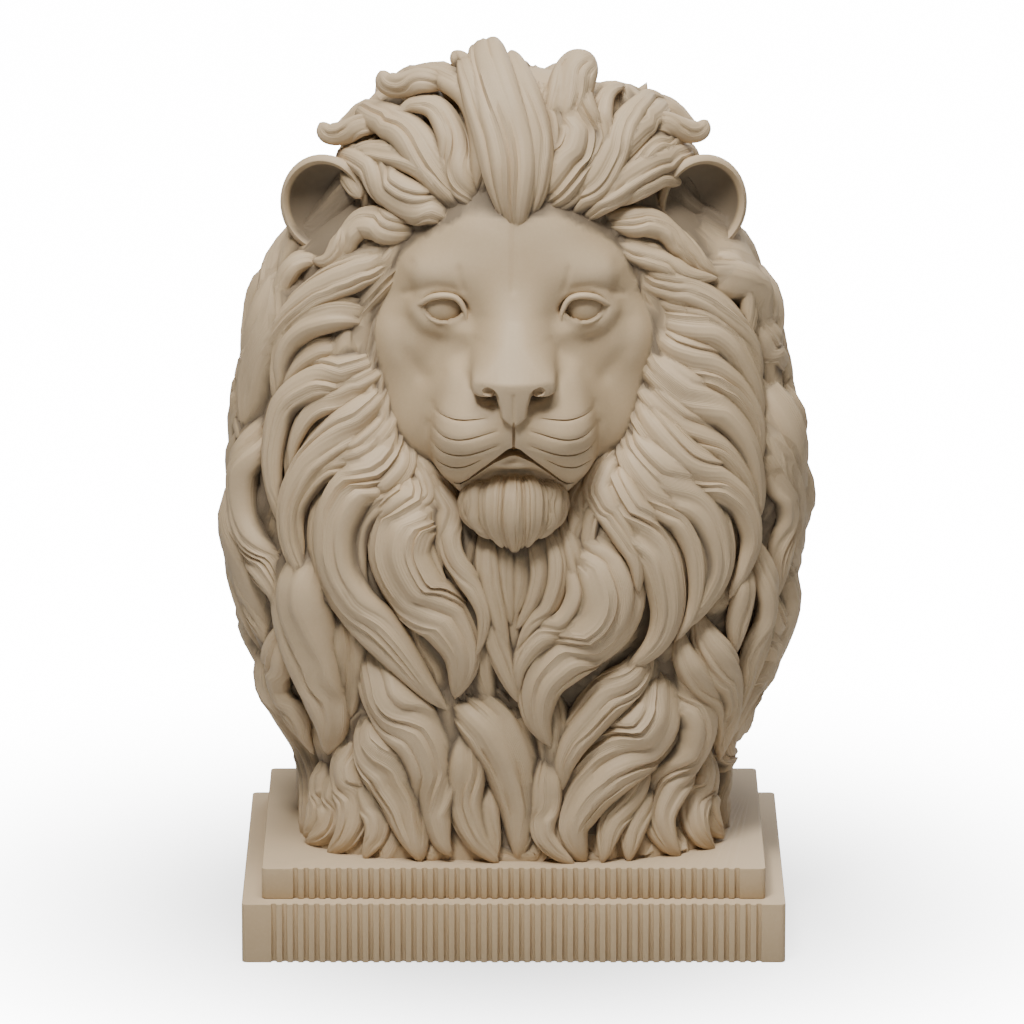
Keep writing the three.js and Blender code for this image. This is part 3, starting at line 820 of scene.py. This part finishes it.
LOCK_OVERLAP = 1.32
TIP_LIFT = 0.14
HIDDEN_ROOT = 8
ROOT_RISE = 15
ROOT_SIDE = 54


def lead_in(points):
    """The route of a lock with its root carried on under the face: straight back beside the brow,
    upwards along the edge of the face below it, and down under the hairline at the crown."""
    across, height = points[0]
    if abs(across) < 30 and 300 < height < 306:
        return [(across * 0.95, height - HIDDEN_ROOT)] + points
    if abs(past_face(across, height)) > 6 or not 190 < height < 290:
        return points
    if height > FACE_WIDEST:
        onward, upward = points[1][0] - across, points[1][1] - height
        back = HIDDEN_ROOT / math.hypot(onward, upward)
        return [(across - back * onward, height - back * upward)] + points
    higher = height + ROOT_RISE
    edge = ROOT_SIDE * math.sqrt(1 - ((higher - FACE_WIDEST) / face_reach(higher)) ** 2)
    eased = (0.6 * across + 0.4 * points[1][0], 0.6 * height + 0.4 * points[1][1])
    return [(math.copysign(edge, across), higher), eased] + points[1:]


for row in (SIDE_LOCKS, FOOT_LOCKS, LEFT_LOCKS, RIGHT_LOCKS, UNDER_CHIN, CROWN_LOCKS):
    for width, layer, points in row:
        blunt = 4 if row is CROWN_LOCKS else 3
        front_lock(lead_in(points), width * LOCK_OVERLAP, layer, width * TIP_LIFT, blunt)

# The crown's biggest locks end in a rounded curl that turns up, its broad side to the front.
for width, route in CROWN_CURLS:
    facing = np.tile((0.0, -0.95, 0.3), (ROUTE_STEPS, 1))
    lay_lock(through(route, ROUTE_STEPS), facing, width, 3, root=0.5, blunt=9)

# A broad lock rises from a point low on the forehead, runs up the middle and rolls over the top.
PEAK = [
    (21, 2, [(1.6, -55.5, 290), (1, -54.5, 301), (0.5, -50, 314), (-1, -43, 328), (-5, -34, 343),
             (-9, -21, 355), (-11, -7, 361), (-11, 10, 352)]),
    (12, 0, [(-3, -53, 297), (-6, -49, 312), (-10, -41, 330), (-15, -31, 345), (-19, -18, 356),
             (-20, -4, 358)]),
    (13, 0, [(5, -53, 297), (9, -48, 312), (10, -40, 330), (6, -31, 345), (1, -18, 356), (-1, -2, 360)]),
]
for width, layer, route in PEAK:
    lean = np.radians(np.linspace(0, 95, ROUTE_STEPS))
    facing = np.stack([0 * lean, -np.cos(lean), np.sin(lean)], 1)
    lay_lock(through(route, ROUTE_STEPS) + facing * 4, facing, width, layer, blunt=5)

# Strands follow the edge of the face downwards, over the roots of the locks that spring from it.
#     root height, drop, spread
RIM_STRANDS = [(286, 34, 0.12), (276, 38, 0.14), (266, 38, 0.16), (254, 40, 0.16), (242, 40, 0.18),
               (230, 36, 0.18)]
for side in (1, -1):
    for root, drop, spread in RIM_STRANDS:
        height = np.linspace(root, root - drop, 6)
        reach = FACE_SIDE * np.sqrt(1 - ((height - FACE_WIDEST) / face_reach(height)) ** 2)
        across = reach * (1.0 + spread * np.linspace(0, 1, 6) ** 1.3)
        front_lock(np.stack([side * across, height + 1.5 * side], 1), 9, -0.5)

# Plain locks lie beneath the crown's, fanned out from the hairline.
for root in range(-32, 33, 7):
    fan = [(root, 300), (root * 1.25, 318), (root * 1.6, 335), (root * 1.8, 350)]
    front_lock(fan, 15, -2, blank=PLAIN_LOCK)

# Between each lock and the next, a narrower one lies half hidden beneath them.
for row in (LEFT_LOCKS, RIGHT_LOCKS):
    for (wide, _, first), (next_wide, _, second) in pairwise(row):
        middle = (through(first, 7) + through(second, 7)) / 2
        front_lock(middle, 0.5 * (wide + next_wide), -3)

# The ears' size and place are settled here, because the plain locks keep clear of their cups.
EAR_RADIUS = 19.5
EAR_CENTRE = (75.5, -13.0, 299.0)


def clear_of_ears(across, height):
    return np.hypot(np.abs(across) - EAR_CENTRE[0], height - EAR_CENTRE[2]).min() > EAR_RADIUS + 1


# Under all of these a plain layer of locks hangs all round, and another springs from the face.
UNDER_LENGTH = 62
for number, root in enumerate(range(335, 60, -34)):
    for turn in np.radians(np.linspace(-98, 98, 15) + 6.5 * (number % 2)):
        height = np.maximum(np.linspace(root, root - UNDER_LENGTH, ROUTE_STEPS), FOOT)
        turns = turn + 0.06 * np.sin(np.linspace(0, 6, ROUTE_STEPS))
        spot = on_mane(turns, height)
        if past_face(spot[:, 0], height).min() > 3 and clear_of_ears(spot[:, 0], height):
            lay_lock(spot, outward(turns, height), 0.21 * shape_at(root, MANE_SIDE), -6, blank=PLAIN_LOCK)
for degrees in range(-200, 160, 9):
    start = math.radians(degrees)
    away = np.linspace(0.86, 1.4, 6)
    across = 55 * away * math.cos(start)
    tall = FACE_UP if math.sin(start) > 0 else FACE_DOWN
    height = FACE_WIDEST + tall * away * math.sin(start) - 14 * (away - 0.86)
    if clear_of_ears(across, height):
        front_lock(np.stack([across, height], 1), 13, -3, blank=PLAIN_LOCK)


# ---- Mane: the sides and back ----
# Behind, the locks hang in plain staggered rows, each row lapping the one below, rolled and scored
# like the ones in front.

#     root height, length, locks in the row
BACK_ROWS = [
    (357, 52, 8), (346, 84, 9), (328, 98, 9), (292, 108, 11), (252, 112, 12), (212, 108, 12),
    (172, 100, 12), (132, 88, 12), (98, 61, 12),
]
for number, (root, length, count) in enumerate(BACK_ROWS):
    for place in range(count):
        share = (place + 0.5 * (number % 2)) / (count - 0.5)
        start = math.radians(84 + 192 * share) + chance.uniform(-0.05, 0.05)
        drop = np.linspace(0, 1, ROUTE_STEPS)
        swing = chance.uniform(5, 11) * chance.choice((-1, 1))
        height = np.maximum(root + min(0, chance.uniform(-14, 8)) - length * drop, FOOT)
        sway = np.sin(2 * math.pi * (drop * chance.uniform(0.7, 1.05) + chance.uniform(0, 0.2)))
        turn = start + swing * sway / np.maximum(shape_at(height, MANE_SIDE), 40)
        width = 1.45 * math.pi * shape_at(root - length / 2, MANE_SIDE) / count
        lay_lock(on_mane(turn, height), outward(turn, height), width * chance.uniform(0.8, 1.15),
                 layer=chance.uniform(-0.5, 2.5), blunt=2.6, blank=BACK_LOCK)

# Over the top, locks part from behind the crown and lie back and down.
for across in range(-40, 41, 8):
    out = 0.3 * abs(across)
    route = [(across * 0.5, -14, 352 - out), (across * 0.8, 6, 353 - out), (across, 25, 345 - out),
             (across * 1.2 + chance.uniform(-4, 4), 40, 328 - out)]
    lean = np.radians(np.linspace(10, -60, ROUTE_STEPS))
    facing = np.stack([0.012 * across + 0 * lean, -np.sin(lean), np.cos(lean)], 1)
    facing /= np.linalg.norm(facing, axis=1, keepdims=True)
    lay_lock(through(route, ROUTE_STEPS), facing, 15, layer=1.5, root=0.3, blunt=2.6, blank=BACK_LOCK)


# ---- Ears ----
# Each ear is a shallow round cup turned a little outwards, with a thick rolled rim. It stands in
# a notch beside the crown, and the locks in front cover its inner edge.

EAR_WALL = 3.4
for side in (1, -1):
    ear = bmesh.new()
    profile = [(0, 15), (7, 14.2), (13, 11), (17, 5.5), (EAR_RADIUS, -2), (EAR_RADIUS - 0.5, -3.6),
               (EAR_RADIUS - EAR_WALL / 2, -4.4), (EAR_RADIUS - EAR_WALL, -3.4),
               (EAR_RADIUS - EAR_WALL - 1.2, 0), (12, 4), (7, 6.6), (0, 7.6)]
    smooth_profile = through(profile, 30)
    smooth_profile[[0, -1], 0] = 0
    drawn = [ear.verts.new((radius, depth, 0)) for radius, depth in smooth_profile]
    line = [ear.edges.new(pair) for pair in pairwise(drawn)]
    bmesh.ops.spin(ear, geom=drawn + line, axis=(0, 1, 0), cent=(0, 0, 0), angle=2 * math.pi,
                   steps=48, use_merge=True)
    bmesh.ops.remove_doubles(ear, verts=ear.verts, dist=1e-4)
    bmesh.ops.recalc_face_normals(ear, faces=ear.faces)
    bmesh.ops.scale(ear, verts=ear.verts, vec=(1, 1, 1.06))
    bmesh.ops.rotate(ear, verts=ear.verts, cent=(0, 0, 0), matrix=Matrix.Rotation(side * 0.35, 3, "Z"))
    bmesh.ops.translate(ear, verts=ear.verts, vec=Vector(EAR_CENTRE) * Vector((side, 1, 1)))
    bmesh.ops.scale(ear, verts=ear.verts, vec=(MM, MM, MM))
    ear_mesh = bpy.data.meshes.new("ear")
    ear.to_mesh(ear_mesh)
    ear.free()
    lock_tray.objects.link(bpy.data.objects.new("ear", ear_mesh))


# ---- Bust: one casting ----
# The locks, the face and the ears are worked on one clay body and cast together, so the
# finished bust is a single closed skin with a flat foot.

core = bmesh.new()
bmesh.ops.create_cone(core, cap_ends=True, cap_tris=True, segments=96, radius1=1, radius2=1, depth=1)
uprights = [e for e in core.edges if abs(e.verts[0].co.z - e.verts[1].co.z) > 0.5]
bmesh.ops.subdivide_edges(core, edges=uprights, cuts=60)
CORE_DEPTH = 7
CORE_TOP = TOP - 14
DOME_START = 330
BEHIND_FACE = 18
for vertex in core.verts:
    height = FOOT + (vertex.co.z + 0.5) * (CORE_TOP - FOOT)
    turn = math.atan2(vertex.co.x, -vertex.co.y)
    dome = math.sqrt(1 - 0.9 * max(0, (height - DOME_START) / (CORE_TOP - DOME_START)) ** 2)
    ring = dome * min(1.0, math.hypot(vertex.co.x, vertex.co.y))
    point = on_mane(np.array([turn]), np.array([height]))[0]
    behind = 1 - (point[0] / 60) ** 2 - ((height - 243) / 62) ** 2
    depth = CORE_DEPTH + (BEHIND_FACE * min(1.0, 3 * behind) if behind > 0 and point[1] < 0 else 0)
    inset = outward(np.array([turn]), np.array([height]))[0] * depth
    vertex.co = (float((point[0] - inset[0]) * ring * MM), float((point[1] - inset[1]) * ring * MM),
                 height * MM)
bmesh.ops.recalc_face_normals(core, faces=core.faces)
core_mesh = bpy.data.meshes.new("lion_bust_cast")
core.to_mesh(core_mesh)
core.free()
bust = bpy.data.objects.new("lion_bust_cast", core_mesh)
bpy.context.scene.collection.objects.link(bust)


def settle(piece):
    """Makes what a piece's modifiers give its own mesh."""
    graph = bpy.context.evaluated_depsgraph_get()
    made = bpy.data.meshes.new_from_object(piece.evaluated_get(graph))
    piece.modifiers.clear()
    piece.data = made


def join(piece, tools, operation):
    """Joins a tray of closed solids to a piece, or cuts them from it, and clears the tray away."""
    bpy.context.scene.collection.children.link(tools)
    change = piece.modifiers.new("change", "BOOLEAN")
    change.operation = operation
    change.solver = "MANIFOLD"
    change.operand_type = "COLLECTION"
    change.collection = tools
    settle(piece)
    for tool in list(tools.objects):
        bpy.data.objects.remove(tool)
    bpy.context.scene.collection.children.unlink(tools)


join(bust, lock_tray, "UNION")
join(bust, cutters, "DIFFERENCE")
bust.data.calc_loop_triangles()
MOST_TRIANGLES = 194000
thin = bust.modifiers.new("thin", "DECIMATE")
thin.ratio = min(1.0, MOST_TRIANGLES / len(bust.data.loop_triangles))
settle(bust)

# Where the skin lies lower than its surroundings it is painted darker as painted shade, and where
# it stands higher it is painted paler as a painted highlight. Both are found by comparing it with
# a smoothed copy.
skin = bust.data
count = len(skin.vertices)
place = np.empty(count * 3)
skin.vertices.foreach_get("co", place)
place = place.reshape(-1, 3) / MM
facing = np.empty(count * 3)
skin.vertex_normals.foreach_get("vector", facing)
facing = facing.reshape(-1, 3)
ends = np.empty(len(skin.edges) * 2, dtype=np.int64)
skin.edges.foreach_get("vertices", ends)
ends = ends.reshape(-1, 2)
eased = place.copy()
for _ in range(70):
    eased += 0.6 * (mean_of_neighbours(eased, ends) - eased)
sunk = np.einsum("ij,ij->i", eased - place, facing)
for _ in range(3):
    sunk = 0.5 * sunk + 0.5 * mean_of_neighbours(sunk, ends)
# The painted shade is held back on the smooth face of the head, except in its deeper cuts.
smooth_face = np.clip(-past_face(place[:, 0], place[:, 2]) / 4, 0, 1) * (place[:, 1] < -20)
# The first attribute is painted shade in the hollows, and the second is a painted highlight on the ridges.
for name, values in (("recess", (sunk - 2 * smooth_face) / 1.1), ("edge", (-sunk - 0.1) / 1.6)):
    layer = skin.attributes.new(name, "FLOAT", "POINT")
    layer.data.foreach_set("value", np.clip(values, 0, 1).astype(np.float32))
skin.shade_smooth()
skin.set_sharp_from_angle(angle=math.radians(50))
skin.materials.clear()
skin.materials.append(stone)
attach(bust, "root")
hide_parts("lion_bust")


# ---- The studio ----
# A white sweep under soft light from above and a little to the left, with a weak fill from the
# right and a larger lamp behind. None of it belongs to the sculpture.

sweep = bmesh.new()
bmesh.ops.create_grid(sweep, x_segments=1, y_segments=1, size=6)
sweep_mesh = bpy.data.meshes.new("floor")
sweep.to_mesh(sweep_mesh)
sweep.free()
floor = bpy.data.objects.new("floor", sweep_mesh)
bpy.context.scene.collection.objects.link(floor)
paper = bpy.data.materials.new("paper")
paper.use_nodes = True
paper_shader = paper.node_tree.nodes["Principled BSDF"]
paper_shader.inputs["Base Color"].default_value = (0.5, 0.5, 0.5, 1)
paper_shader.inputs["Roughness"].default_value = 0.9
paper_shader.inputs["Emission Color"].default_value = (1, 1, 1, 1)
place = node(paper.node_tree, "ShaderNodeTexCoord", {}, output="Object")
away = node(paper.node_tree, "ShaderNodeVectorMath", {"operation": "LENGTH"}, place, output="Value")
seen = node(paper.node_tree, "ShaderNodeLightPath", {}, output="Is Camera Ray")
# Camera rays see the paper glowing white, and the glow is dimmed near the base as a painted shadow.
glow_with_painted_shadow = away.between(0.06, 0.4) * 14 + 1.4
paper.node_tree.links.new((glow_with_painted_shadow * seen).socket, paper_shader.inputs["Emission Strength"])
floor.data.materials.append(paper)


LAMP_AIM = Vector((0, 0, 0.2))


def softbox(name, place, size, power):
    lamp = bpy.data.lights.new(name, "AREA")
    lamp.size = size
    lamp.energy = power
    holder = bpy.data.objects.new(name, lamp)
    holder.location = place
    holder.rotation_euler = (LAMP_AIM - Vector(place)).to_track_quat("-Z", "Y").to_euler()
    bpy.context.scene.collection.objects.link(holder)


softbox("key", (-0.5, -1.2, 2.2), 0.5, 46)
softbox("fill", (1.4, -1.5, 1.2), 1.2, 3)
softbox("top", (0, -0.4, 2.2), 1.2, 48)
softbox("back", (0.9, 2.0, 1.3), 1.5, 22)
world = bpy.data.worlds.new("studio")
world.use_nodes = True
world.node_tree.nodes["Background"].inputs["Color"].default_value = (1, 1, 1, 1)
world.node_tree.nodes["Background"].inputs["Strength"].default_value = 0.05
bpy.context.scene.world = world
